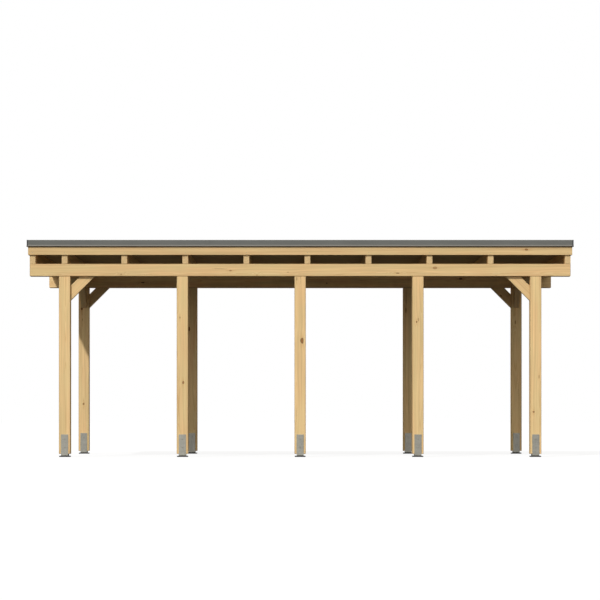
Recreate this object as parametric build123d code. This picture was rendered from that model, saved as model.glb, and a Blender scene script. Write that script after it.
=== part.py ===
from build123d import *
import os

# Flat-roofed timber carport. Two rows of posts stand in steel shoes and carry two long
# beams; joists cross the beams, and a boarded roof with a raised, metal-trimmed edge lies
# on them. Millimetres, +Z up. The origin is on the ground, at the centre of the plan:
# X runs along the rows of posts and Y across the parking space, from front row to rear row.

# Posts
POST_SIZE = 120            # square section
POST_PITCH = 1244          # centre to centre along a row
POSTS_PER_ROW = 5
ROW_SPACING = 2400         # centre to centre across the parking space
POST_FOOT = 32             # ground to the sawn foot of a post

# Post shoes: base plate, two side plates and a seat plate, welded together
SHOE_BASE_WIDTH = 114
SHOE_BASE_THICKNESS = 12
SHOE_PLATE_WIDTH = 75
SHOE_PLATE_THICKNESS = 5
SHOE_TOP = 238             # ground to the top of the side plates
ANCHOR_HOLE_RADIUS = 5.5
ANCHOR_HOLE_EDGE = 11      # hole centre to the base plate's left or right edge

# Beams
CLEAR_HEIGHT = 1909        # ground to the underside of the beams
BEAM_WIDTH = 120
BEAM_HEIGHT = 131
BEAM_OVERHANG = 308        # past the outer faces of the corner posts
REAR_BEAM_EXTRA = 29       # the rear beam runs on by this much more at each end

# Braces under the beams at the corner posts, cut from plank at 45 degrees
BRACE_WIDTH = 60
BRACE_DEPTH = 110
BRACE_LEG = {"front": 256, "rear": 233}   # along the post and the beam, to the lower edge

# Joists
JOIST_WIDTH = 60
JOIST_HEIGHT = 140
JOIST_FIRST_GAP = 630      # from the joist on the left corner posts to the next one
JOIST_PITCH = 645

# Roof
DECK_THICKNESS = 20
COVERING_THICKNESS = 3
KERB_WIDTH = 40
KERB_HEIGHT = 89
FASCIA_THICKNESS = 16
FASCIA_HEIGHT = 156
TRIM_THICKNESS = 2
TRIM_HEIGHT = 66
TRIM_STANDOFF = 10         # clear space between the fascia and the trim's face
CAP_PROUD = 1              # the corner caps stand out from the trims by this much
CAP_DROP = 9               # and hang below them by this much

# Levels, each the underside of the piece named, except the last two
BEAM_LEVEL = CLEAR_HEIGHT
JOIST_LEVEL = BEAM_LEVEL + BEAM_HEIGHT
DECK_LEVEL = JOIST_LEVEL + JOIST_HEIGHT
KERB_LEVEL = DECK_LEVEL + DECK_THICKNESS
KERB_TOP = KERB_LEVEL + KERB_HEIGHT
TRIM_TOP = KERB_TOP + TRIM_THICKNESS

# Plan
ROW_Y = ROW_SPACING / 2
CORNER_X = POST_PITCH * (POSTS_PER_ROW - 1) / 2
FRAME_HALF_X = CORNER_X + POST_SIZE / 2 + BEAM_OVERHANG
FRAME_HALF_Y = ROW_Y + BEAM_WIDTH / 2
FASCIA_HALF_X = FRAME_HALF_X + FASCIA_THICKNESS
FASCIA_HALF_Y = FRAME_HALF_Y + FASCIA_THICKNESS
TRIM_REACH = TRIM_STANDOFF + TRIM_THICKNESS
KERB_INNER_X = FRAME_HALF_X - KERB_WIDTH
KERB_INNER_Y = FRAME_HALF_Y - KERB_WIDTH

ROWS = {"front": -1, "rear": 1}
ENDS = {"left": -1, "right": 1}


def block(x_range, y_range, z_range):
    """A box between two limits on each axis, given in either order."""
    sizes = [abs(high - low) for low, high in (x_range, y_range, z_range)]
    centre = [(high + low) / 2 for low, high in (x_range, y_range, z_range)]
    return Pos(*centre) * Box(*sizes)


def centred(size):
    """The limits of a length centred on zero."""
    return (-size / 2, size / 2)


def post_positions(row):
    """Plan positions of a row's posts, from left to right."""
    return [(-CORNER_X + i * POST_PITCH, ROWS[row] * ROW_Y) for i in range(POSTS_PER_ROW)]


def post():
    """One post standing on the origin's vertical axis."""
    return block(centred(POST_SIZE), centred(POST_SIZE), (POST_FOOT, BEAM_LEVEL))


def shoe_base():
    """Base plate with an anchor hole on each side of the welded plates."""
    depth = POST_SIZE + 2 * SHOE_PLATE_THICKNESS
    plate = block(centred(SHOE_BASE_WIDTH), centred(depth), (0, SHOE_BASE_THICKNESS))
    hole = Pos(0, 0, SHOE_BASE_THICKNESS / 2) * Cylinder(ANCHOR_HOLE_RADIUS, SHOE_BASE_THICKNESS)
    for side in (-1, 1):
        plate -= Pos(side * (SHOE_BASE_WIDTH / 2 - ANCHOR_HOLE_EDGE), 0, 0) * hole
    return plate


def shoe_side(row_side):
    """Side plate that laps the post's front (-1) or rear (+1) face."""
    inner = row_side * POST_SIZE / 2
    outer = row_side * (POST_SIZE / 2 + SHOE_PLATE_THICKNESS)
    return block(centred(SHOE_PLATE_WIDTH), (inner, outer), (SHOE_BASE_THICKNESS, SHOE_TOP))


def shoe_seat():
    """Seat plate between the side plates, under the post's foot."""
    z_range = (POST_FOOT - SHOE_PLATE_THICKNESS, POST_FOOT)
    return block(centred(SHOE_PLATE_WIDTH), centred(POST_SIZE), z_range)


def at_every_post(*pieces):
    """Copies of the pieces at all the posts of both rows."""
    return [Pos(x, y, 0) * piece for row in ROWS for x, y in post_positions(row) for piece in pieces]


def beam(row):
    """Long beam on top of one row of posts."""
    half = FRAME_HALF_X + (REAR_BEAM_EXTRA if row == "rear" else 0)
    y = ROWS[row] * ROW_Y
    y_range = (y - BEAM_WIDTH / 2, y + BEAM_WIDTH / 2)
    return block((-half, half), y_range, (BEAM_LEVEL, JOIST_LEVEL))


def cross_beam(end):
    """Beam between the two long beams, over a pair of corner posts."""
    x = ENDS[end] * CORNER_X
    x_range = (x - BEAM_WIDTH / 2, x + BEAM_WIDTH / 2)
    return block(x_range, centred(ROW_SPACING - BEAM_WIDTH), (BEAM_LEVEL, JOIST_LEVEL))


def brace(leg):
    """Brace in the XZ plane, in the corner under a beam and at +X of a post, corner at the origin."""
    upper_leg = leg - BRACE_DEPTH * 2 ** 0.5
    corners = [(0, -leg), (leg, 0), (upper_leg, 0), (0, -upper_leg)]
    outline = make_face(Polyline(*corners, close=True))
    return extrude(Plane.XZ * outline, BRACE_WIDTH / 2, both=True)


def long_brace(row, end):
    """Brace from a corner post to its long beam."""
    turn = 0 if end == "left" else 180
    x = ENDS[end] * (CORNER_X - POST_SIZE / 2)
    return Pos(x, ROWS[row] * ROW_Y, BEAM_LEVEL) * Rot(0, 0, turn) * brace(BRACE_LEG[row])


def cross_brace(row, end):
    """Brace from a corner post to its cross beam."""
    turn = 90 if row == "front" else -90
    y = ROWS[row] * (ROW_Y - POST_SIZE / 2)
    return Pos(ENDS[end] * CORNER_X, y, BEAM_LEVEL) * Rot(0, 0, turn) * brace(BRACE_LEG[row])


def joist_positions():
    """Centres of the joists along X: both ends, one on the left corner posts, the rest at a pitch."""
    last = FRAME_HALF_X - JOIST_WIDTH / 2
    positions = [-last, -CORNER_X]
    x = -CORNER_X + JOIST_FIRST_GAP
    while x <= last - JOIST_PITCH:
        positions.append(x)
        x += JOIST_PITCH
    return positions + [last]


def joist(x):
    """Joist across both long beams, flush with their outer faces."""
    x_range = (x - JOIST_WIDTH / 2, x + JOIST_WIDTH / 2)
    return block(x_range, centred(2 * FRAME_HALF_Y), (JOIST_LEVEL, DECK_LEVEL))


def roof_deck():
    """Boarding on the joists."""
    return block(centred(2 * FRAME_HALF_X), centred(2 * FRAME_HALF_Y), (DECK_LEVEL, KERB_LEVEL))


def roof_covering():
    """Membrane on the boarding, inside the kerb."""
    z_range = (KERB_LEVEL, KERB_LEVEL + COVERING_THICKNESS)
    return block(centred(2 * KERB_INNER_X), centred(2 * KERB_INNER_Y), z_range)


def long_kerb(row):
    """Kerb batten along a long edge of the roof."""
    y_range = (ROWS[row] * KERB_INNER_Y, ROWS[row] * FRAME_HALF_Y)
    return block(centred(2 * FRAME_HALF_X), y_range, (KERB_LEVEL, KERB_TOP))


def end_kerb(end):
    """Kerb batten along an end of the roof, between the long ones."""
    x_range = (ENDS[end] * KERB_INNER_X, ENDS[end] * FRAME_HALF_X)
    return block(x_range, centred(2 * KERB_INNER_Y), (KERB_LEVEL, KERB_TOP))


def long_fascia(row):
    """Fascia board along a long side, covering the ends of the end boards."""
    y_range = (ROWS[row] * FRAME_HALF_Y, ROWS[row] * FASCIA_HALF_Y)
    return block(centred(2 * FASCIA_HALF_X), y_range, (KERB_TOP - FASCIA_HEIGHT, KERB_TOP))


def end_fascia(end):
    """Fascia board along an end, between the long ones."""
    x_range = (ENDS[end] * FRAME_HALF_X, ENDS[end] * FASCIA_HALF_X)
    return block(x_range, centred(2 * FRAME_HALF_Y), (KERB_TOP - FASCIA_HEIGHT, KERB_TOP))


def long_trim(row):
    """Angle trim along a long side: a flange on the fascia and kerb, and a face hanging in front."""
    side = ROWS[row]
    face = side * (FASCIA_HALF_Y + TRIM_REACH)
    x_range = centred(2 * FASCIA_HALF_X)
    flange = block(x_range, (side * KERB_INNER_Y, face), (KERB_TOP, TRIM_TOP))
    leg = block(x_range, (face - side * TRIM_THICKNESS, face), (TRIM_TOP - TRIM_HEIGHT, TRIM_TOP))
    return flange + leg


def end_trim(end):
    """Angle trim along an end: its flange stops short of the long trims' flanges."""
    side = ENDS[end]
    face = side * (FASCIA_HALF_X + TRIM_REACH)
    y_range = centred(2 * FASCIA_HALF_Y)
    edge = block((side * FASCIA_HALF_X, face), y_range, (KERB_TOP, TRIM_TOP))
    flange = block((side * KERB_INNER_X, face), centred(2 * KERB_INNER_Y), (KERB_TOP, TRIM_TOP))
    leg = block((face - side * TRIM_THICKNESS, face), y_range, (TRIM_TOP - TRIM_HEIGHT, TRIM_TOP))
    return edge + flange + leg


def corner_cap(row, end):
    """Cap that closes the corner between two trims."""
    reach = TRIM_REACH + CAP_PROUD
    x_range = (ENDS[end] * FASCIA_HALF_X, ENDS[end] * (FASCIA_HALF_X + reach))
    y_range = (ROWS[row] * FASCIA_HALF_Y, ROWS[row] * (FASCIA_HALF_Y + reach))
    return block(x_range, y_range, (TRIM_TOP - TRIM_HEIGHT - CAP_DROP, TRIM_TOP))


def carport():
    """Every piece by node name; a list holds like pieces that don't touch."""
    nodes = {
        "shoe_base_plates": at_every_post(shoe_base()),
        "shoe_side_plates": at_every_post(shoe_side(-1), shoe_side(1)),
        "shoe_seat_plates": at_every_post(shoe_seat()),
        "roof_deck": [roof_deck()],
        "roof_covering": [roof_covering()],
        "long_kerbs": [long_kerb(row) for row in ROWS],
        "end_kerbs": [end_kerb(end) for end in ENDS],
        "trim_corner_caps": [corner_cap(row, end) for row in ROWS for end in ENDS],
    }
    for row in ROWS:
        for number, (x, y) in enumerate(post_positions(row), start=1):
            nodes[f"{row}_post_{number}"] = [Pos(x, y, 0) * post()]
        nodes[f"{row}_beam"] = [beam(row)]
        nodes[f"{row}_fascia"] = [long_fascia(row)]
        nodes[f"{row}_trim"] = [long_trim(row)]
    for end in ENDS:
        nodes[f"{end}_cross_beam"] = [cross_beam(end)]
        nodes[f"{end}_fascia"] = [end_fascia(end)]
        nodes[f"{end}_trim"] = [end_trim(end)]
        for row in ROWS:
            nodes[f"{row}_{end}_long_brace"] = [long_brace(row, end)]
            nodes[f"{row}_{end}_cross_brace"] = [cross_brace(row, end)]
    for number, x in enumerate(joist_positions(), start=1):
        nodes[f"joist_{number}"] = [joist(x)]
    return nodes


os.makedirs("parts", exist_ok=True)
for name, pieces in carport().items():
    shape = pieces[0] if len(pieces) == 1 else Compound(children=pieces)
    export_step(shape, f"parts/{name}.step")
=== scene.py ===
import math
import random

import bmesh
import bpy
from mathutils import Matrix, Vector


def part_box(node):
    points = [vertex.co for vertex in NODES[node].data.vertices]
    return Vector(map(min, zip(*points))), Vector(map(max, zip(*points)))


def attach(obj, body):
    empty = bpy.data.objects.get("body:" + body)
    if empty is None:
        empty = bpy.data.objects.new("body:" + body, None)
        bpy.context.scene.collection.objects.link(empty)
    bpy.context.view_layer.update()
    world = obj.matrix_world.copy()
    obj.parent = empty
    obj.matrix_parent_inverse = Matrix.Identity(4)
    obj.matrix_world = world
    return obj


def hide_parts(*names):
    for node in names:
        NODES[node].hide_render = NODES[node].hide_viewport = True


# Looks for a flat-roofed timber carport: planed softwood frame, galvanised shoes, boarded
# roof with a black membrane, and a grey metal edge trim. Metres, in the frame of the CAD model.

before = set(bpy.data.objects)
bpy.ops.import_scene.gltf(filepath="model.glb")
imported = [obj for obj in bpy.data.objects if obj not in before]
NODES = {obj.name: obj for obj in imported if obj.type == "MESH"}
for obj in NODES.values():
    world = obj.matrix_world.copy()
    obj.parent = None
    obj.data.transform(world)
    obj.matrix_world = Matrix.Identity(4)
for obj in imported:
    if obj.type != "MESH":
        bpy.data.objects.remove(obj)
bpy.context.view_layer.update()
MM = 0.001
AXES = {"X": Vector((1, 0, 0)), "Y": Vector((0, 1, 0)), "Z": Vector((0, 0, 1))}
ROWS = {"front": -1, "rear": 1}
ENDS = {"left": -1, "right": 1}


def linear(red, green, blue):
    """An sRGB colour given as 0 to 255, as the linear RGBA that shaders take."""
    parts = [value / 255 for value in (red, green, blue)]
    return tuple(c / 12.92 if c <= 0.04045 else ((c + 0.055) / 1.055) ** 2.4 for c in parts) + (1,)


# --------------------------------------------------------------------------------------
# Node trees
# --------------------------------------------------------------------------------------
class Graph:
    """The node tree of a material or a world, built with short calls that return sockets."""

    def __init__(self, owner):
        owner.use_nodes = True
        self.owner = owner
        self.tree = owner.node_tree
        self.tree.nodes.clear()

    @classmethod
    def material(cls, name):
        return cls(bpy.data.materials.new(name))

    def node(self, kind, inputs=None, **settings):
        """A new node with its settings made and its inputs set or linked, by name or index."""
        made = self.tree.nodes.new("ShaderNode" + kind)
        for key, value in settings.items():
            setattr(made, key, value)
        for key, value in (inputs or {}).items():
            if isinstance(value, bpy.types.NodeSocket):
                self.tree.links.new(value, made.inputs[key])
            else:
                made.inputs[key].default_value = value
        return made

    def math(self, operation, *values):
        return self.node("Math", dict(enumerate(values)), operation=operation).outputs[0]

    def vector(self, operation, *values):
        return self.node("VectorMath", dict(enumerate(values)), operation=operation).outputs[0]

    def dot(self, a, b):
        made = self.node("VectorMath", {0: a, 1: b}, operation="DOT_PRODUCT")
        return made.outputs["Value"]

    def length(self, a):
        return self.node("VectorMath", {0: a}, operation="LENGTH").outputs["Value"]

    def combine(self, x, y, z):
        return self.node("CombineXYZ", {0: x, 1: y, 2: z}).outputs[0]

    def noise(self, vector, scale, detail=2.0, roughness=0.5):
        """Noise about 0.5, for the most part between 0.3 and 0.7."""
        inputs = {"Vector": vector, "Scale": scale, "Detail": detail, "Roughness": roughness}
        return self.node("TexNoise", inputs).outputs["Fac"]

    def stretched(self, place, scales, detail=2.0, roughness=0.5):
        """Noise with a scale of its own along each axis."""
        return self.noise(self.vector("MULTIPLY", place, scales), 1.0, detail, roughness)

    def spread(self, value, from_range, to_range, kind="LINEAR"):
        """A value mapped from one range to another, clamped."""
        inputs = {0: value, 1: from_range[0], 2: from_range[1], 3: to_range[0], 4: to_range[1]}
        return self.node("MapRange", inputs, interpolation_type=kind).outputs[0]

    def ramp(self, factor, stops):
        """Colours at positions of 0 to 1."""
        made = self.node("ValToRGB", {0: factor})
        band = made.color_ramp
        while len(band.elements) < len(stops):
            band.elements.new(0.5)
        for element, (position, colour) in zip(band.elements, stops):
            element.position = position
            element.color = colour
        return made.outputs[0]

    def mix(self, factor, a, b, blend="MIX"):
        inputs = {0: factor, 6: a, 7: b}
        made = self.node("Mix", inputs, data_type="RGBA", blend_type=blend)
        return made.outputs[2]

    def tint(self, colour, factor):
        """A colour made lighter or darker by a factor near 1."""
        grey = self.combine(factor, factor, factor)
        return self.mix(1.0, colour, grey, "MULTIPLY")

    def seen(self):
        """1 for what the camera sees, straight or in metal and glass, and 0 for light on surfaces."""
        path = self.node("LightPath").outputs
        through = self.math("MAXIMUM", path["Is Glossy Ray"], path["Is Transmission Ray"])
        return self.math("MAXIMUM", path["Is Camera Ray"], through)

    def bump(self, height, distance, strength=1.0):
        inputs = {"Strength": strength, "Distance": distance, "Height": height}
        return self.node("Bump", inputs).outputs[0]

    def finish(self, **inputs):
        """The surface shader and the output, with inputs named as on the Principled shader."""
        named = {key.replace("_", " "): value for key, value in inputs.items()}
        shader = self.node("BsdfPrincipled", named)
        self.node("OutputMaterial", {"Surface": shader.outputs[0]})
        return self.owner


# --------------------------------------------------------------------------------------
# Wood
# --------------------------------------------------------------------------------------
EARLY_WOOD = linear(229, 198, 147)
LATE_WOOD = linear(203, 161, 105)
END_GRAIN = linear(212, 184, 138)
YELLOW_CAST = (0.972, 1.015, 0.995, 1)
RED_CAST = (1.02, 0.965, 0.945, 1)
RING_WIDTH = 4.2 * MM
RING_RAGGED = 2 * MM       # how far a ring strays from a circle
PITH_WANDER = (0.0, 0.05, 0.05)
TONE_SPREAD = 0.02         # how much lighter or darker one piece may be than the next

KNOT_HEART = linear(146, 95, 54)
KNOT_RIM = linear(74, 45, 24)
KNOT_STAIN = linear(186, 134, 78)
KNOT_PITCH = 0.36          # along the grain
KNOTS_ROUND = 3            # branches round the pith in one such length
KNOT_RADIUS = (2 * MM, 8.5 * MM)
KNOT_RANK = 1.3            # over 1, more of the knots are small than large
KNOT_STRETCH = (1.2, 4.0)  # knots are longer along the grain than across it
KNOT_DEPTH = (0.4, 1.0)    # from faint to dark
KNOT_TRAIL = 14            # length of the stain along the grain, in radii of its knot
KNOT_SWELL = 9 * MM        # how far a knot pushes the rings outwards
KNOT_SWELL_REACH = 45 * MM

CHECK_COLOUR = linear(104, 72, 42)
CHECK_PITCH = 0.7
CHECKS_ROUND = 3
CHECK_SHARE = 0.35         # of the places where a drying crack could be
CHECK_LENGTH = (0.06, 0.24)
CHECK_WIDTH = 0.7 * MM
CHECK_WAVER = 5 * MM       # how far a crack strays sideways
# the darker colour mixed onto eased edges: partly dirt, partly painted shade on the arrises
EDGE_DIRT_AND_SHADE_COLOUR = linear(120, 84, 48)


def wood_place(g, grain, cross, source):
    """Position in a piece's own directions, along the grain and across it from its pith, and a
    number from 0 to 1 that is the same all over one piece."""
    pith = g.node("Attribute", attribute_name="pith", attribute_type=source).outputs["Vector"]
    own = g.stretched(pith, (7.0, 7.0, 7.0), 0.0)
    local = g.vector("SUBTRACT", g.node("TexCoord").outputs["Object"], pith)
    third = grain.cross(cross)
    return g.combine(g.dot(local, grain), g.dot(local, cross), g.dot(local, third)), own


def about_pith(g, place):
    """The pith wanders along the piece. Gives the way along it, the way out from it, and the turn
    round it."""
    slow = g.vector("MULTIPLY", place, (0.7, 3.0, 3.0))
    wander = g.node("TexNoise", {"Vector": slow, "Scale": 1.0, "Detail": 2.0}).outputs["Color"]
    shift = g.vector("MULTIPLY", g.vector("SUBTRACT", wander, (0.5, 0.5, 0.5)), PITH_WANDER)
    along, across, third = g.node("SeparateXYZ", {0: g.vector("ADD", place, shift)}).outputs
    return along, g.length(g.combine(0.0, across, third)), g.math("ARCTAN2", third, across)


def scattered(g, along, turn, pitch, around):
    """Random places on a piece: one to each pitch along the grain, and so many round the pith.
    Gives how far off the nearest is, along the grain and in turn, and three chances of its own."""
    per_turn = around / (2 * math.pi)
    cell = g.combine(g.math("DIVIDE", along, pitch), g.math("MULTIPLY", turn, per_turn), 0.0)
    spots = g.node("TexVoronoi", {"Vector": cell, "Scale": 1.0}, voronoi_dimensions="2D")
    off = g.node("SeparateXYZ", {0: g.vector("SUBTRACT", cell, spots.outputs["Position"])}).outputs
    chances = g.node("SeparateColor", {0: spots.outputs["Color"]}).outputs
    return g.math("MULTIPLY", off[0], pitch), g.math("DIVIDE", off[1], per_turn), chances


def wood_knots(g, along, radius, turn, share, ragged):
    """Branches run out from the pith. Gives how near one is (1 at its heart, 0 at its rim), how
    dark it is, how far off it is, and a stain that trails from it along the grain."""
    beyond, sideways, chances = scattered(g, along, turn, KNOT_PITCH, KNOTS_ROUND)
    beside = g.math("MULTIPLY", radius, g.math("SINE", sideways))
    there = g.math("LESS_THAN", chances[0], share)
    rank = g.math("POWER", g.math("DIVIDE", chances[0], share), KNOT_RANK)
    size = g.spread(rank, (0.0, 1.0), KNOT_RADIUS)
    depth = g.math("MULTIPLY", there, g.spread(chances[1], (0.1, 0.9), KNOT_DEPTH))
    stretch = g.spread(chances[2], (0.0, 1.0), KNOT_STRETCH)
    away = g.length(g.combine(g.math("DIVIDE", beyond, stretch), beside, 0.0))
    away = g.math("MULTIPLY", away, g.spread(ragged, (0.3, 0.7), (0.75, 1.25)))
    near = g.math("SUBTRACT", 1.0, g.math("DIVIDE", away, size))

    narrow = g.spread(g.math("DIVIDE", g.math("ABSOLUTE", beside), size), (0.2, 1.3), (1.0, 0.0))
    reach = (0.0, g.math("MULTIPLY", size, KNOT_TRAIL))
    short = g.spread(g.math("ABSOLUTE", beyond), reach, (1.0, 0.0), "SMOOTHSTEP")
    trail = g.math("MULTIPLY", depth, g.math("MULTIPLY", narrow, short))
    return near, depth, away, trail


def wood_checks(g, along, radius, turn):
    """Drying cracks, which run with the grain and towards the pith. 1 inside a crack."""
    beyond, sideways, chances = scattered(g, along, turn, CHECK_PITCH, CHECKS_ROUND)
    waver = g.noise(g.combine(g.math("MULTIPLY", along, 25.0), 0.0, 0.0), 1.0, 2.0)
    aside = g.math("ADD", g.math("MULTIPLY", radius, g.math("SINE", sideways)),
                   g.math("MULTIPLY", g.math("SUBTRACT", waver, 0.5), CHECK_WAVER))
    length = g.spread(chances[1], (0.0, 1.0), CHECK_LENGTH)
    taper = g.spread(g.math("DIVIDE", g.math("ABSOLUTE", beyond), length), (0.3, 1.0), (1.0, 0.0))
    there = g.math("LESS_THAN", chances[0], CHECK_SHARE)
    half_width = g.math("MULTIPLY", g.math("MULTIPLY", there, taper), CHECK_WIDTH)
    return g.math("LESS_THAN", g.math("ABSOLUTE", aside), half_width)


def wood_rings(g, radius, ragged, knot_depth, knot_away):
    """Growth rings, which swell round the knots: pale early wood and a thin dark line of late wood.
    Gives how deep in the tree a place is, and how late its wood is."""
    swell = g.spread(knot_away, (0.0, KNOT_SWELL_REACH), (KNOT_SWELL, 0.0), "SMOOTHSTEP")
    swell = g.math("MULTIPLY", knot_depth, swell)
    stray = g.math("MULTIPLY", ragged, RING_RAGGED)
    depth = g.math("ADD", radius, g.math("ADD", swell, stray))
    ring = g.math("FRACT", g.math("DIVIDE", depth, RING_WIDTH))
    late = g.ramp(ring, [(0.0, (0, 0, 0, 1)), (0.5, (0.12, 0.12, 0.12, 1)),
                         (0.86, (1, 1, 1, 1)), (1.0, (0, 0, 0, 1))])
    return depth, late


def wood_shade(g, place, bands, fibres, own, tone):
    """How light the wood is, by bands that follow the rings, broad blotches, fibres and the
    piece's own tone."""
    blotches = g.stretched(place, (2.2, 7.0, 7.0))
    shade = g.math("ADD", g.spread(bands, (0.28, 0.72), (1.12, 0.87)),
                   g.spread(blotches, (0.3, 0.7), (-0.03, 0.03)))
    shade = g.math("ADD", shade, g.spread(fibres, (0.2, 0.8), (-0.03, 0.03)))
    own_tone = g.spread(own, (0.3, 0.7), (tone - TONE_SPREAD, tone + TONE_SPREAD))
    return g.math("MULTIPLY", shade, own_tone)


def cast(g, colour, place):
    """A colour that drifts between a yellow and a red cast."""
    warmth = g.stretched(place, (1.9, 11.0, 11.0))
    tinge = g.mix(g.spread(warmth, (0.34, 0.68), (0.0, 1.0)), YELLOW_CAST, RED_CAST)
    return g.mix(1.0, colour, tinge, "MULTIPLY")


def knotted(g, colour, near, depth, trail):
    """Knots on a colour: a dark rim round a brown heart, with a stain along the grain."""
    colour = g.mix(g.math("MULTIPLY", trail, 0.6), colour, KNOT_STAIN)
    heart = g.mix(g.spread(near, (0.0, 0.45), (0.0, 1.0)), KNOT_RIM, KNOT_HEART)
    inside = g.spread(near, (-0.35, 0.06), (0.0, 1.0), "SMOOTHSTEP")
    return g.mix(g.math("MULTIPLY", inside, depth), colour, heart)


def ends_and_edges(g, colour, cut, grain, cross, edge_dirt_and_shade):
    """Cut ends have a colour of their own. Eased edges are darkened, partly as handling dirt and partly
    as painted shade on the arrises.
    """
    normal = g.node("NewGeometry").outputs["True Normal"]
    ways = [g.math("ABSOLUTE", g.dot(normal, way)) for way in (grain, cross, grain.cross(cross))]
    colour = g.mix(g.spread(ways[0], (0.75, 0.9), (0.0, 1.0)), colour, cut)
    flat = g.math("MAXIMUM", ways[0], g.math("MAXIMUM", ways[1], ways[2]))
    # eased edges darkened towards that colour: partly dirt, partly painted shade
    return g.mix(g.spread(flat, (0.93, 0.97), (edge_dirt_and_shade, 0.0)), colour, EDGE_DIRT_AND_SHADE_COLOUR)


def wood(name, grain, cross, source="OBJECT", tone=1.0, edge_dirt_and_shade=0.3, knots=0.5):
    """Planed softwood with growth rings about a pith, streaks, fibres, knots, cracks and end grain."""
    g = Graph.material(name)
    place, own = wood_place(g, grain, cross, source)
    along, radius, turn = about_pith(g, place)
    ragged = g.stretched(place, (4.0, 60.0, 60.0), 3.0)
    near_knot, knot_depth, knot_away, trail = wood_knots(g, along, radius, turn, knots, ragged)
    check = wood_checks(g, along, radius, turn)
    depth, late = wood_rings(g, radius, ragged, knot_depth, knot_away)

    band_place = g.combine(g.math("MULTIPLY", along, 0.7), g.math("MULTIPLY", depth, 80.0),
                           g.math("MULTIPLY", turn, 1.3))
    bands = g.noise(band_place, 1.0, 3.0, 0.62)
    fibres = g.stretched(place, (14.0, 900.0, 900.0), 3.0, 0.7)
    weight = g.math("MULTIPLY", late, g.spread(bands, (0.3, 0.7), (0.2, 0.6)))
    shade = wood_shade(g, place, bands, fibres, own, tone)
    colour = cast(g, g.tint(g.mix(weight, EARLY_WOOD, LATE_WOOD), shade), place)
    colour = knotted(g, colour, near_knot, knot_depth, trail)
    cut = g.tint(g.mix(weight, END_GRAIN, LATE_WOOD), shade)
    colour = ends_and_edges(g, colour, cut, grain, cross, edge_dirt_and_shade)
    colour = g.mix(check, colour, CHECK_COLOUR)

    grain_height = g.math("ADD", g.math("MULTIPLY", late, 0.5), fibres)
    grain_height = g.math("SUBTRACT", grain_height, g.math("MULTIPLY", check, 3.0))
    roughness = g.spread(g.math("ADD", late, fibres), (0.2, 1.6), (0.74, 0.58))
    return g.finish(Base_Color=colour, Roughness=roughness, Specular_IOR_Level=0.0,
                    Normal=g.bump(grain_height, 0.25 * MM, 0.6))


# --------------------------------------------------------------------------------------
# Metal, membrane and plastic
# --------------------------------------------------------------------------------------
ZINC_COLOUR = linear(150, 148, 138)
BATCH_PLACE = (238.75, 0.0, 0.0)      # where in the noise the shoes lie
BATCH_SHADE = (0.88, 1.12)            # how much darker or lighter one shoe may be than the next
MEMBRANE_COLOUR = linear(46, 47, 48)
DUST_COLOUR = linear(102, 99, 91)
DUSTY_BORDER = (20 * MM, 130 * MM)    # dust thins out over this way from the kerbs


def galvanised(name):
    """Dull zinc with a faint spangle and a few darker runs, a little lighter or darker from shoe
    to shoe."""
    g = Graph.material(name)
    place = g.node("TexCoord").outputs["Object"]
    cells = g.node("TexVoronoi", {"Vector": place, "Scale": 140.0}).outputs["Color"]
    spangle = g.node("SeparateColor", {0: cells}).outputs[0]
    cloud = g.noise(place, 28.0, 4.0, 0.6)
    runs = g.stretched(place, (90.0, 90.0, 7.0), 3.0)
    shade = g.math("ADD", g.spread(spangle, (0.0, 1.0), (0.90, 1.08)),
                   g.spread(cloud, (0.3, 0.7), (-0.10, 0.08)))
    shade = g.math("SUBTRACT", shade, g.spread(runs, (0.55, 0.8), (0.0, 0.16)))
    batch = g.noise(g.vector("ADD", place, BATCH_PLACE), 0.3, 0.0)
    shade = g.math("MULTIPLY", shade, g.spread(batch, (0.3, 0.7), BATCH_SHADE))
    roughness = g.spread(g.math("ADD", spangle, cloud), (0.4, 1.6), (0.42, 0.62))
    return g.finish(Base_Color=g.tint(ZINC_COLOUR, shade), Metallic=0.45, Roughness=roughness,
                    Normal=g.bump(cloud, 0.15 * MM, 0.4))


def coated(name, colour, speckle=0.05, roughness=(0.42, 0.58), metallic=0.0, gloss=0.5,
           lip=None, highlight_height=0.0):
    """Even colour with a fine texture and faint dust, for coated sheet, weld metal and plastic.
    Where a lip's colour is given, it takes over below the lip's height; on the trims this lighter colour
    is a painted highlight where the drip catches the light."""
    g = Graph.material(name)
    place = g.node("TexCoord").outputs["Object"]
    fine = g.noise(place, 900.0, 2.0, 0.6)
    dust = g.stretched(place, (3.0, 3.0, 9.0), 4.0, 0.6)
    shade = g.math("ADD", g.spread(fine, (0.3, 0.7), (1 - speckle, 1 + speckle)),
                   g.spread(dust, (0.35, 0.7), (-0.05, 0.07)))
    if lip:
        height = g.node("SeparateXYZ", {0: place}).outputs[2]
        # painted highlight: the lip's lighter colour below that height
        below = g.spread(height, (highlight_height - 1 * MM, highlight_height + 1 * MM), (1.0, 0.0))
        colour = g.mix(below, colour, lip)
    colour = g.tint(colour, shade)
    rough = g.spread(dust, (0.3, 0.7), roughness)
    return g.finish(Base_Color=colour, Metallic=metallic, Roughness=rough,
                    Specular_IOR_Level=gloss, Normal=g.bump(fine, 0.05 * MM, 0.3))


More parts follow.
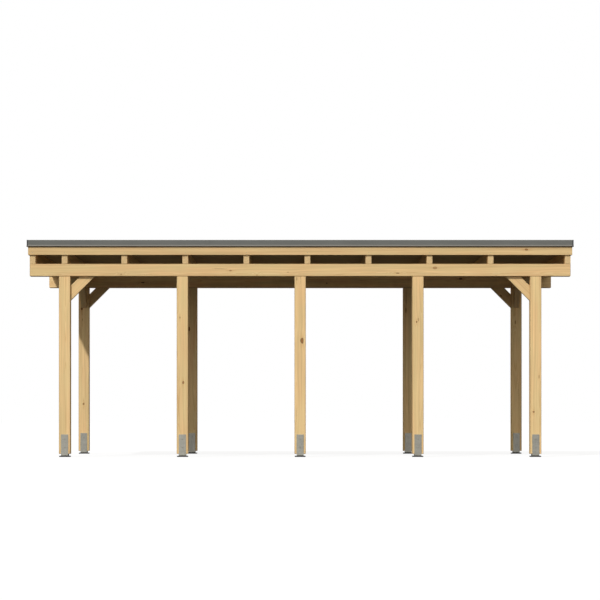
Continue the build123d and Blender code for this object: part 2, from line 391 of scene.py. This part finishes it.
def membrane(name, half_x, half_y, board_width):
    """Black rubber sheet. Pale dust has settled in shallow ponds and along the kerbs, and the
    joints of the boards below show faintly through it."""
    g = Graph.material(name)
    place = g.node("TexCoord").outputs["Object"]
    x, y, _ = g.node("SeparateXYZ", {0: place}).outputs
    ponds = g.stretched(place, (1.2, 1.9, 1.0), 5.0, 0.6)
    grit = g.noise(place, 420.0, 2.0, 0.7)
    waves = g.stretched(place, (2.4, 3.4, 2.4))
    inset = g.math("MINIMUM", g.math("SUBTRACT", half_x, g.math("ABSOLUTE", x)),
                   g.math("SUBTRACT", half_y, g.math("ABSOLUTE", y)))
    border = g.spread(inset, DUSTY_BORDER, (0.5, 0.0), "SMOOTHSTEP")
    dust = g.math("MAXIMUM", g.spread(ponds, (0.5, 0.72), (0.0, 0.3), "SMOOTHSTEP"),
                  g.math("MULTIPLY", border, g.spread(ponds, (0.3, 0.6), (0.3, 1.0))))
    dust = g.math("MULTIPLY", dust, g.spread(grit, (0.35, 0.65), (0.5, 1.0)))
    colour = g.mix(dust, MEMBRANE_COLOUR, DUST_COLOUR)

    across = g.math("FRACT", g.math("DIVIDE", g.math("ADD", y, half_y), board_width))
    joint = g.spread(g.math("ABSOLUTE", g.math("SUBTRACT", across, 0.5)), (0.44, 0.5), (0.0, 1.0))
    height = g.math("ADD", g.math("MULTIPLY", waves, 8.0), g.math("MULTIPLY", grit, 0.05))
    height = g.math("SUBTRACT", height, g.math("MULTIPLY", joint, 0.25))
    return g.finish(Base_Color=colour, Roughness=g.spread(dust, (0.0, 0.4), (0.52, 0.82)),
                    Specular_IOR_Level=0.3, Normal=g.bump(height, 1.2 * MM, 0.5))


# --------------------------------------------------------------------------------------
# Mesh code
# --------------------------------------------------------------------------------------
class Pieces:
    """Gathers closed shapes into one mesh object. Wooden shapes carry the place of their pith."""

    def __init__(self, name, material, slot, replaces=()):
        self.name, self.material, self.slot, self.replaces = name, material, slot, replaces
        self.bm = bmesh.new()
        self.pith = self.bm.faces.layers.float_vector.new("pith")

    def loft(self, rings, pith=(0, 0, 0), smooth=False):
        """A closed solid through rings of points, capped at both ends."""
        loops = [[self.bm.verts.new(point) for point in ring] for ring in rings]
        faces = [self.bm.faces.new(loops[0][::-1]), self.bm.faces.new(loops[-1])]
        for low, high in zip(loops, loops[1:]):
            for i in range(len(low)):
                j = (i + 1) % len(low)
                side = self.bm.faces.new((low[i], low[j], high[j], high[i]))
                side.smooth = smooth
                faces.append(side)
        for face in faces:
            face[self.pith] = Vector(pith)

    def prism(self, outline, along, start, end, pith=(0, 0, 0)):
        """An outline in the other two axes, drawn out along one axis."""
        def point(position, a, b):
            return {"X": (position, a, b), "Y": (a, position, b), "Z": (a, b, position)}[along]
        self.loft([[point(position, a, b) for a, b in outline] for position in (start, end)], pith)

    def turned(self, profile, place, sides=20, smooth=True):
        """A solid turned about an axis: profile gives (radius, height), place puts it in the frame."""
        angles = [2 * math.pi * i / sides for i in range(sides)]
        rings = [[place @ Vector((radius * math.cos(a), radius * math.sin(a), height)) for a in angles]
                 for radius, height in profile]
        self.loft(rings, smooth=smooth)

    def make(self):
        """The finished object, riding on the carport."""
        bmesh.ops.recalc_face_normals(self.bm, faces=self.bm.faces)
        mesh = bpy.data.meshes.new(self.name)
        self.bm.to_mesh(mesh)
        self.bm.free()
        mesh.materials.append(self.material)
        made = bpy.data.objects.new(self.name, mesh)
        bpy.context.scene.collection.objects.link(made)
        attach(made, "root")
        if self.replaces:
            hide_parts(*self.replaces)


def ease_edges(piece, width):
    """Rounds the sharp edges of a piece."""
    weld = piece.modifiers.new("weld", "WELD")
    weld.merge_threshold = 0.01 * MM
    bevel = piece.modifiers.new("eased edges", "BEVEL")
    bevel.width = width
    bevel.segments = 2
    bevel.limit_method = "ANGLE"
    bevel.angle_limit = math.radians(30)
    bevel.harden_normals = False


def hex_bolt(pieces, place):
    """Hexagon head on a washer, both standing on the plane z = 0 of their place."""
    rim, chamfer = 0.3 * MM, 0.86
    washer, thick = WASHER_RADIUS, WASHER_THICKNESS
    pieces.turned([(washer - rim, 0), (washer, rim), (washer, thick - rim), (washer - rim, thick)],
                  place, sides=28)
    corner = BOLT_FLATS / math.sqrt(3)
    pieces.turned([(corner, thick), (corner, thick + chamfer * BOLT_HEAD),
                   (chamfer * corner, thick + BOLT_HEAD)], place, sides=6, smooth=False)


def screw_head(pieces, place):
    """Countersunk screw head with a hollow for the driver, its rim level with the surface."""
    radius, rim, foot = SCREW_RADIUS, 0.15 * MM, -0.4 * MM
    pieces.turned([(radius, foot), (radius, rim), (0.52 * radius, rim), (0.46 * radius, -0.35 * radius)],
                  place, sides=18, smooth=False)


def facing(direction, position):
    """A place whose z axis points along a direction, at a position."""
    turn = Vector(direction).to_track_quat("Z", "Y").to_matrix().to_4x4()
    return Matrix.Translation(position) @ turn


# --------------------------------------------------------------------------------------
# Sizes read from the CAD frame
# --------------------------------------------------------------------------------------
def middle(node):
    """The middle of a node's box."""
    low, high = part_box(node)
    return (low + high) / 2


POSTS = sorted(name for name in NODES if "_post_" in name)
JOISTS = sorted((name for name in NODES if name.startswith("joist_")), key=lambda n: middle(n).x)
DECK_LOW, DECK_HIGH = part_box("roof_deck")
COVER_LOW, COVER_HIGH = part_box("roof_covering")
FASCIA_LOW, FASCIA_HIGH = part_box("front_fascia")
FASCIA_OUT_X = abs(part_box("left_fascia")[0].x)    # outer faces of the fascias
FASCIA_OUT_Y = abs(FASCIA_LOW.y)
TRIM_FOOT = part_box("front_trim")[0].z
SHOE_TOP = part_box("shoe_side_plates")[1].z
BASE_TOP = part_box("shoe_base_plates")[1].z

# --------------------------------------------------------------------------------------
# Camera, stage and light
# --------------------------------------------------------------------------------------
CAMERA_AWAY = 27.0         # from the front faces of the posts
CAMERA_HEIGHT = 0.422
CAMERA_SIDE = -1.6 * MM
LENS = 153.4
SENSOR = 36.0
SHIFT_UP = 0.195
CLIP_END = 500
SUN_DIRECTION = Vector((0.475, 1.0, -1.05))
SUN_STRENGTH = 2.6
SUN_ANGLE = math.radians(1.5)
FILL_DIRECTION = Vector((0.5, 1.0, -0.4))
FILL_STRENGTH = 0.47
FILL_ANGLE = math.radians(80)
SKY_COLOUR = (1.0, 0.965, 0.9, 1)
SKY_STRENGTH = 0.64
BACK_DIRECTION = Vector((0.0, -1.0, -0.5))
BACK_STRENGTH = 0.6
BACK_ANGLE = math.radians(40)
FLOOR_HALF = 150.0
FLOOR_WHITE = (0.9, 0.9, 0.9, 1)
FLOOR_BOUNCE = 0.07        # how much light the floor gives back to the carport
FLOOR_SHADOW = 0.15        # how much of the floor's white comes from the lamps, and so takes shadow


def make_camera():
    """A level camera, square to the front, far off and shifted upwards."""
    data = bpy.data.cameras.new("camera")
    data.sensor_width = SENSOR
    data.lens = LENS
    data.shift_y = SHIFT_UP
    data.clip_end = CLIP_END
    camera = bpy.data.objects.new("camera", data)
    post_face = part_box("front_post_1")[0].y
    camera.location = (CAMERA_SIDE, post_face - CAMERA_AWAY, CAMERA_HEIGHT)
    camera.rotation_euler = (math.radians(90), 0, 0)
    bpy.context.scene.collection.objects.link(camera)
    bpy.context.scene.camera = camera


def make_lamp(name, direction, strength, angle):
    """A distant lamp. A wide angle makes it as soft as a large panel."""
    data = bpy.data.lights.new(name, "SUN")
    data.energy = strength
    data.angle = angle
    lamp = bpy.data.objects.new(name, data)
    lamp.rotation_euler = direction.to_track_quat("-Z", "Y").to_euler()
    bpy.context.scene.collection.objects.link(lamp)


def make_world():
    """Even light from all sides, seen as full white by the camera and in reflections."""
    g = Graph(bpy.data.worlds.new("studio"))
    light = g.node("Background", {"Color": SKY_COLOUR, "Strength": SKY_STRENGTH}).outputs[0]
    white = g.node("Background", {"Color": (1, 1, 1, 1), "Strength": 1.0}).outputs[0]
    pick = g.node("MixShader", {0: g.seen(), 1: light, 2: white}).outputs[0]
    g.node("OutputWorld", {"Surface": pick})
    bpy.context.scene.world = g.owner


def floor_material():
    """White to the camera with a faint shadow, and dim in the light it gives back."""
    g = Graph.material("floor")
    glow = g.node("Emission", {"Color": (1, 1, 1, 1), "Strength": 1.0}).outputs[0]
    matt = g.node("BsdfDiffuse", {"Color": FLOOR_WHITE}).outputs[0]
    white = g.node("MixShader", {0: FLOOR_SHADOW, 1: glow, 2: matt}).outputs[0]
    bounce = g.node("BsdfDiffuse", {"Color": (FLOOR_BOUNCE,) * 3 + (1,)}).outputs[0]
    pick = g.node("MixShader", {0: g.seen(), 1: bounce, 2: white}).outputs[0]
    g.node("OutputMaterial", {"Surface": pick})
    return g.owner


def make_floor():
    """A floor that runs past everything the camera sees."""
    half = FLOOR_HALF
    mesh = bpy.data.meshes.new("floor")
    corners = [(-half, -half, 0), (half, -half, 0), (half, half, 0), (-half, half, 0)]
    mesh.from_pydata(corners, [], [(0, 1, 2, 3)])
    mesh.materials.append(floor_material())
    floor = bpy.data.objects.new("floor", mesh)
    bpy.context.scene.collection.objects.link(floor)


make_camera()
make_lamp("key", SUN_DIRECTION, SUN_STRENGTH, SUN_ANGLE)
make_lamp("fill", FILL_DIRECTION, FILL_STRENGTH, FILL_ANGLE)
make_lamp("back", BACK_DIRECTION, BACK_STRENGTH, BACK_ANGLE)
make_world()
make_floor()
bpy.context.scene.view_settings.view_transform = "Standard"

# --------------------------------------------------------------------------------------
# Timber of the CAD frame
# --------------------------------------------------------------------------------------
PITH_SPAN = 40             # a piece's grain starts anywhere within this of its middle
PITH_NEAR = 0.35           # a pith is at least this share of its reach off the middle
POST_REACH = 70 * MM       # how far off the middle of a piece its pith may be
BEAM_REACH = 80 * MM
PLANK_REACH = 60 * MM
BOARD_REACH = 120 * MM
THICK_EDGE = 4 * MM        # rounding of the edges of posts and beams
BRACE_EDGE = 2.5 * MM
THIN_EDGE = 1.5 * MM
# the cross braces are painted darker (0.8 against 0.94): painted shade for braces that stand in the
# roof's shade
BRACE_TONES = {"long": 0.94, "cross": 0.8}

chance = random.Random(7)


def heart_of(node, grain, reach):
    """A pith for a piece: beside its middle by up to a reach, and anywhere along the grain."""
    turn = chance.uniform(0, 2 * math.pi)
    distance = chance.uniform(PITH_NEAR, 1.0) * reach
    offset = Vector((math.cos(turn), math.sin(turn), 0)) * distance
    basis = grain.to_track_quat("Z", "Y").to_matrix()
    return middle(node) + basis @ offset + grain * chance.uniform(-PITH_SPAN, PITH_SPAN)


def dress(node, material, edge):
    """Gives a CAD piece its material and eased edges."""
    piece = NODES[node]
    piece.data.materials.clear()
    piece.data.materials.append(material)
    ease_edges(piece, edge)


def dress_timber(node, material, grain, reach, edge):
    """Gives a CAD timber its wood, its own pith and eased edges."""
    NODES[node]["pith"] = list(heart_of(node, grain, reach))
    dress(node, material, edge)


# the rear posts' wood is painted lighter (tone 1.04 against 0.955): painted light for the posts standing
# in the roof's shade
post_woods = {"front": wood("front post wood", AXES["Z"], AXES["X"], tone=0.955, edge_dirt_and_shade=0.55),
              "rear": wood("rear post wood painted lighter", AXES["Z"], AXES["X"], tone=1.04, edge_dirt_and_shade=0.55)}
beam_wood = wood("beam wood", AXES["X"], AXES["Z"], tone=0.885, edge_dirt_and_shade=0.6)
# the rear beam's wood is painted lighter (tone 1.17 against 0.885): painted light for the beam standing
# in the roof's shade
rear_beam_wood_painted_lighter = wood("rear beam wood painted lighter", AXES["X"], AXES["Z"], tone=1.17, edge_dirt_and_shade=0.5)
joist_wood = wood("joist wood", AXES["Y"], AXES["Z"], tone=0.965, edge_dirt_and_shade=0.1)
fascia_wood = wood("fascia wood", AXES["X"], AXES["Z"], tone=0.865, edge_dirt_and_shade=0.1, knots=0.12)
end_fascia_wood = wood("end fascia wood", AXES["Y"], AXES["Z"], tone=0.865, edge_dirt_and_shade=0.1, knots=0.12)

for node in POSTS:
    dress_timber(node, post_woods[node.split("_")[0]], AXES["Z"], POST_REACH, THICK_EDGE)
dress_timber("front_beam", beam_wood, AXES["X"], BEAM_REACH, THICK_EDGE)
dress_timber("rear_beam", rear_beam_wood_painted_lighter, AXES["X"], BEAM_REACH, THICK_EDGE)
for node in ("left_cross_beam", "right_cross_beam"):
    dress_timber(node, joist_wood, AXES["Y"], BEAM_REACH, THICK_EDGE)
for node in JOISTS:
    dress_timber(node, joist_wood, AXES["Y"], PLANK_REACH, THIN_EDGE)
for node in ("front_fascia", "rear_fascia"):
    dress_timber(node, fascia_wood, AXES["X"], BOARD_REACH, THIN_EDGE)
for node in ("left_fascia", "right_fascia"):
    dress_timber(node, end_fascia_wood, AXES["Y"], BOARD_REACH, THIN_EDGE)
dress_timber("long_kerbs", beam_wood, AXES["X"], PLANK_REACH, THIN_EDGE)
dress_timber("end_kerbs", joist_wood, AXES["Y"], PLANK_REACH, THIN_EDGE)

for row in ROWS:
    for end in ENDS:
        for way, across, lean in (("long", "Y", Vector((-ENDS[end], 0, 1)).normalized()),
                                  ("cross", "X", Vector((0, -ROWS[row], 1)).normalized())):
            brace_wood = wood(f"{row} {end} {way} brace wood", lean, AXES[across], tone=BRACE_TONES[way])
            dress_timber(f"{row}_{end}_{way}_brace", brace_wood, lean, PLANK_REACH, BRACE_EDGE)

# --------------------------------------------------------------------------------------
# Shoes, their bolts and welds
# --------------------------------------------------------------------------------------
PLATE_EDGE = 0.8 * MM
CAP_EDGE = 1 * MM
SHOE_BOLT_HEIGHTS = (0.42, 0.80)      # shares of the side plates' height, from the base plate
BOLT_FLATS = 13 * MM
BOLT_HEAD = 5.3 * MM
WASHER_RADIUS = 8 * MM
WASHER_THICKNESS = 1.6 * MM
WELD_LEG = 5.5 * MM
WELD_RIPPLE = 2.6 * MM     # from one ripple to the next
WELD_STEPS = 3             # to a ripple
WELD_DEPTH = 0.14          # of a ripple, as a share of the leg
WELD_BULGE = (0.42, 0.72)  # where the weld's round face passes, in shares of the leg
PLATE_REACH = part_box("shoe_side_plates")[1].y - middle("rear_post_1").y
PLATE_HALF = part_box("shoe_side_plates")[1].x - middle("front_post_5").x

zinc = galvanised("galvanised steel")
# the base plates get an even near-black colour
dark_base = coated("dark base plate colour", linear(34, 34, 33), 0.10, (0.5, 0.7))
weld_metal = coated("weld metal", linear(60, 58, 55), 0.15, (0.45, 0.7), 0.3)

dress("shoe_side_plates", zinc, PLATE_EDGE)
dress("shoe_seat_plates", zinc, PLATE_EDGE)
dress("shoe_base_plates", dark_base, PLATE_EDGE)
dress("trim_corner_caps", coated("corner cap plastic", linear(32, 32, 33)), CAP_EDGE)


def make_shoe_bolts():
    """Two bolts through the side plates of each shoe, seen on both faces."""
    bolts = Pieces("shoe_bolts", zinc, "shoe_steel")
    for post in POSTS:
        centre = middle(post)
        for side in (-1, 1):
            for share in SHOE_BOLT_HEIGHTS:
                height = BASE_TOP + share * (SHOE_TOP - BASE_TOP)
                spot = (centre.x, centre.y + side * PLATE_REACH, height)
                hex_bolt(bolts, facing((0, side, 0), spot))
    bolts.make()


def make_welds():
    """Rippled fillet welds where the side plates stand on the base plates."""
    welds = Pieces("shoe_welds", weld_metal, "shoe_base")
    steps = round(2 * PLATE_HALF / WELD_RIPPLE * WELD_STEPS)
    near, far = WELD_BULGE
    for post in POSTS:
        centre = middle(post)
        for side in (-1, 1):
            y = centre.y + side * PLATE_REACH
            rings = []
            for step in range(steps + 1):
                x = centre.x - PLATE_HALF + 2 * PLATE_HALF * step / steps
                ripple = 1 - WELD_DEPTH + WELD_DEPTH * math.cos(2 * math.pi * step / WELD_STEPS)
                leg = WELD_LEG * ripple
                section = [(0, 0), (leg, 0), (far * leg, near * leg), (near * leg, far * leg), (0, leg)]
                rings.append([(x, y + side * out, BASE_TOP + up) for out, up in section])
            welds.loft(rings)
    welds.make()


make_shoe_bolts()
make_welds()

# --------------------------------------------------------------------------------------
# Roof boarding
# --------------------------------------------------------------------------------------
BOARD_COVER = 97 * MM      # about the width that a board covers
BOARD_COUNT = round((DECK_HIGH.y - DECK_LOW.y) / BOARD_COVER)
BOARD_WIDTH = (DECK_HIGH.y - DECK_LOW.y) / BOARD_COUNT
BOARD_GROOVE = 4 * MM      # the V between boards, seen from below
BOARD_GAP = 0.4 * MM       # half the gap where two lengths meet
BOARD_PITH_ASIDE = 0.06    # a board's pith is up to this far from its middle
BOARD_PITH_OFF = (0.04, 0.11)         # and this far above or below it


def make_deck():
    """Tongued boards along the roof, each in two lengths that meet on a joist."""
    # the boards' wood is painted darker (tone 0.63): painted shade for the shaded underside seen between
    # the joists
    board_wood_painted_darker = wood("board wood painted darker", AXES["X"], AXES["Z"], "GEOMETRY", tone=0.63)
    boards = Pieces("roof_boards", board_wood_painted_darker, "deck_boards", ("roof_deck",))
    inner_joists = [middle(name).x for name in JOISTS[2:-1]]
    z0, z1, groove = DECK_LOW.z, DECK_HIGH.z, BOARD_GROOVE
    for number in range(BOARD_COUNT):
        y0 = DECK_LOW.y + number * BOARD_WIDTH
        y1 = y0 + BOARD_WIDTH
        outline = [(y0, z0 + groove), (y0 + groove, z0), (y1 - groove, z0), (y1, z0 + groove),
                   (y1, z1), (y0, z1)]
        joint = chance.choice(inner_joists)
        for x0, x1 in ((DECK_LOW.x, joint - BOARD_GAP), (joint + BOARD_GAP, DECK_HIGH.x)):
            pith = (chance.uniform(-PITH_SPAN, PITH_SPAN),
                    (y0 + y1) / 2 + chance.uniform(-BOARD_PITH_ASIDE, BOARD_PITH_ASIDE),
                    z0 + chance.choice((-1, 1)) * chance.uniform(*BOARD_PITH_OFF))
            boards.prism(outline, "X", x0, x1, pith)
    boards.make()


make_deck()

# --------------------------------------------------------------------------------------
# Membrane
# --------------------------------------------------------------------------------------
SHEET = 1.5 * MM
SHEET_TOP = FASCIA_HIGH.z - 0.5 * MM  # just under the trims' flanges
CANT = 25 * MM             # rounded corner between the deck and the kerb
CANT_STEPS = 5
SHADE_HEM_DROP = 6 * MM          # the outer edge of the sheet shows this far below the trims, a dark strip that stands in for the trims' shadow on the fascias
CORNERS = ((-1, -1), (1, -1), (1, 1), (-1, 1))


def add_sheet(sheet):
    """The sheet on the boarding, turned up against the kerbs with a rounded corner."""
    half_x, half_y, base, top = COVER_HIGH.x, COVER_HIGH.y, COVER_LOW.z, SHEET_TOP
    turns = [math.pi / 2 * i / CANT_STEPS for i in range(CANT_STEPS + 1)]
    path = [(CANT * (1 - math.sin(a)), base + CANT * (1 - math.cos(a))) for a in turns] + [(0, top)]
    upper = [[(sx * (half_x - SHEET - inset), sy * (half_y - SHEET - inset), height + SHEET)
              for sx, sy in CORNERS] for inset, height in path]
    upper[-1] = [(x, y, top) for x, y, _ in upper[-1]]
    lower = [[(sx * (half_x - inset), sy * (half_y - inset), height) for sx, sy in CORNERS]
             for inset, height in path]
    sheet.loft(upper + lower[::-1])


def add_flaps(sheet):
    """The sheet's surplus, folded flat against the end kerbs in the four corners."""
    base, top = COVER_LOW.z, SHEET_TOP
    for sx, sy in CORNERS:
        face, corner = sx * (COVER_HIGH.x - SHEET), sy * (COVER_HIGH.y - SHEET)
        flap = [(corner, base + SHEET), (corner, top), (corner - sy * (top - base), top)]
        sheet.prism(flap, "X", face - sx * 2 * SHEET, face)


def add_shade_hem(sheet):
    """The sheet's outer edge, which hangs between the trims and the fascias. Below the trims it shows as
    a dark strip standing in for their shadow on the fascias.
    """
    foot = TRIM_FOOT - SHADE_HEM_DROP
    for side in (-1, 1):
        for along, out, reach in (("X", FASCIA_OUT_Y, FASCIA_OUT_X + SHEET),
                                  ("Y", FASCIA_OUT_X, FASCIA_OUT_Y)):
            inner, outer = side * out, side * (out + SHEET)
            strip = [(inner, foot), (outer, foot), (outer, SHEET_TOP), (inner, SHEET_TOP)]
            sheet.prism(strip, along, -reach, reach)


def make_membrane():
    """One black sheet from hem to hem."""
    material = membrane("black membrane", COVER_HIGH.x, COVER_HIGH.y, BOARD_WIDTH)
    sheet = Pieces("roof_membrane", material, "roof_membrane", ("roof_covering",))
    add_sheet(sheet)
    add_flaps(sheet)
    add_shade_hem(sheet)
    sheet.make()


make_membrane()

# --------------------------------------------------------------------------------------
# Edge trims
# --------------------------------------------------------------------------------------
TRIM_SHEET = 2 * MM
TRIM_BEND = 5 * MM         # outer radius where the flange turns down into the face
BEND_STEPS = 4
TRIM_LENGTH = 2.0          # the longest that one sheet may be
TRIM_GAP = 1 * MM          # between sheets
TRIM_STRAP = 80 * MM       # width of the strip behind a gap
STRAP_SHEET = 1 * MM
DRIP_REACH = 6 * MM        # the drip kicks out at the foot of the trim's face
DRIP_RISE = 12 * MM
# painted highlight: the drip is coloured lighter to stand in for the light it catches
DRIP_HIGHLIGHT_COLOUR = linear(114, 111, 104)
trim_paint = coated("grey coated sheet", linear(98, 99, 95), 0.04, (0.45, 0.6), gloss=0.3,
                    lip=DRIP_HIGHLIGHT_COLOUR, highlight_height=TRIM_FOOT + DRIP_RISE)


def trim_outline(face, kerb, top, foot):
    """Section of a trim: flange over the kerb, bend, face, and a drip that kicks out at its foot."""
    out = -1 if kerb > face else 1
    t, r = TRIM_SHEET, TRIM_BEND
    lip = face + out * DRIP_REACH
    turns = [math.pi / 2 * i / BEND_STEPS for i in range(BEND_STEPS + 1)]
    outer = [(face - out * r * (1 - math.sin(a)), top - r * (1 - math.cos(a))) for a in turns]
    inner = [(face - out * (r - (r - t) * math.sin(a)), top - r + (r - t) * math.cos(a)) for a in turns]
    drip = [(face, foot + DRIP_RISE), (lip, foot + t), (lip, foot), (lip - out * t, foot),
            (face - out * t, foot + DRIP_RISE - t)]
    return [(kerb, top)] + outer + drip + inner[::-1] + [(kerb, top - t)]


def strap_outline(face, top, foot, out):
    """Section of the strip behind a gap between sheets."""
    outer = face - out * TRIM_SHEET
    inner = outer - out * STRAP_SHEET
    low, high = foot + DRIP_RISE, top - TRIM_BEND
    return [(outer, low), (outer, high), (inner, high), (inner, low)]


def sheet_lengths(low, high):
    """Equal lengths from low to high with gaps between them."""
    count = math.ceil((high - low) / TRIM_LENGTH)
    pitch = (high - low + TRIM_GAP) / count
    return [(low + i * pitch, low + (i + 1) * pitch - TRIM_GAP) for i in range(count)]


def add_trim(trim, along, outline, strap, low, high):
    """A trim in its sheet lengths, with a strip behind each gap."""
    spans = sheet_lengths(low, high)
    for start, end in spans:
        trim.prism(outline, along, start, end)
    for start, _ in spans[1:]:
        trim.prism(strap, along, start - TRIM_STRAP / 2, start + TRIM_STRAP / 2)


def make_long_trims():
    """The trims of the front and the rear, whose flanges run from end to end."""
    for row, side in ROWS.items():
        low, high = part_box(f"{row}_trim")
        face, kerb = (low.y, high.y) if side < 0 else (high.y, low.y)
        trim = Pieces(f"{row}_edge_trim", trim_paint, "edge_trim", (f"{row}_trim",))
        add_trim(trim, "X", trim_outline(face, kerb, high.z, low.z),
                 strap_outline(face, high.z, low.z, side), low.x, high.x)
        trim.make()


def make_end_trims():
    """The trims of the ends. Past the long trims' flanges theirs cover the fascia only."""
    stop = abs(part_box("front_trim")[1].y)
    for end, side in ENDS.items():
        low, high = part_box(f"{end}_trim")
        face, kerb = (low.x, high.x) if side < 0 else (high.x, low.x)
        trim = Pieces(f"{end}_edge_trim", trim_paint, "edge_trim", (f"{end}_trim",))
        add_trim(trim, "Y", trim_outline(face, kerb, high.z, low.z),
                 strap_outline(face, high.z, low.z, side), -stop, stop)
        short = trim_outline(face, side * FASCIA_OUT_X, high.z, low.z)
        trim.prism(short, "Y", low.y, -stop)
        trim.prism(short, "Y", stop, high.y)
        trim.make()


make_long_trims()
make_end_trims()

# --------------------------------------------------------------------------------------
# Screws
# --------------------------------------------------------------------------------------
SCREW_RADIUS = 4 * MM
FASCIA_SCREW_RISE = 24 * MM           # from the lower edge of a fascia
FASCIA_SCREW_INSET = 60 * MM          # from the ends of an end fascia
FASCIA_SCREW_PITCH = 0.42             # the longest step between two
TRIM_SCREW_INSETS = {"long": 0.1, "end": 0.35}
TRIM_SCREW_PITCH = 0.48
BRACE_SCREW_INSET = 55 * MM           # across and up from the ends of a brace's lower face
BRACE_SCREW_ASIDE = 20 * MM           # from the middle of that face


def spaced(low, high, longest):
    """Evenly spaced places from low to high, with no step over the longest."""
    steps = math.ceil((high - low) / longest)
    return [low + (high - low) * i / steps for i in range(steps + 1)]


def make_fascia_screws():
    """A row of screws along the lower edge of each fascia, on the long ones at the joists."""
    screws = Pieces("fascia_screws", zinc, "shoe_steel")
    height = FASCIA_LOW.z + FASCIA_SCREW_RISE
    for side in ROWS.values():
        for name in JOISTS:
            spot = (middle(name).x, side * FASCIA_OUT_Y, height)
            screw_head(screws, facing((0, side, 0), spot))
    for end, side in ENDS.items():
        low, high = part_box(f"{end}_fascia")
        for y in spaced(low.y + FASCIA_SCREW_INSET, high.y - FASCIA_SCREW_INSET, FASCIA_SCREW_PITCH):
            screw_head(screws, facing((side, 0, 0), (side * FASCIA_OUT_X, y, height)))
    screws.make()


def make_trim_screws():
    """A row of screws down the middle of each trim's flange."""
    screws = Pieces("trim_screws", zinc, "shoe_steel")
    for row in ROWS:
        low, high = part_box(f"{row}_trim")
        inset = TRIM_SCREW_INSETS["long"]
        for x in spaced(low.x + inset, high.x - inset, TRIM_SCREW_PITCH):
            screw_head(screws, facing(AXES["Z"], (x, (low.y + high.y) / 2, high.z)))
    for end in ENDS:
        low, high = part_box(f"{end}_trim")
        inset = TRIM_SCREW_INSETS["end"]
        for y in spaced(low.y + inset, high.y - inset, TRIM_SCREW_PITCH):
            screw_head(screws, facing(AXES["Z"], ((low.x + high.x) / 2, y, high.z)))
    screws.make()


def add_brace_screws(screws, node, away):
    """Two screws at each end of the lower face of a brace, which rises away from its post."""
    low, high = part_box(node)
    length = high.z - low.z
    aside = AXES["Z"].cross(away)
    foot = middle(node) - away * length / 2
    foot.z = low.z
    for run in (BRACE_SCREW_INSET, length - BRACE_SCREW_INSET):
        for off in (-BRACE_SCREW_ASIDE, BRACE_SCREW_ASIDE):
            spot = foot + (away + AXES["Z"]) * run + aside * off
            screw_head(screws, facing(away - AXES["Z"], spot))


def make_brace_screws():
    """The screws of all the braces."""
    screws = Pieces("brace_screws", zinc, "shoe_steel")
    for row, back in ROWS.items():
        for end, side in ENDS.items():
            add_brace_screws(screws, f"{row}_{end}_long_brace", Vector((-side, 0, 0)))
            add_brace_screws(screws, f"{row}_{end}_cross_brace", Vector((0, -back, 0)))
    screws.make()


make_fascia_screws()
make_trim_screws()
make_brace_screws()
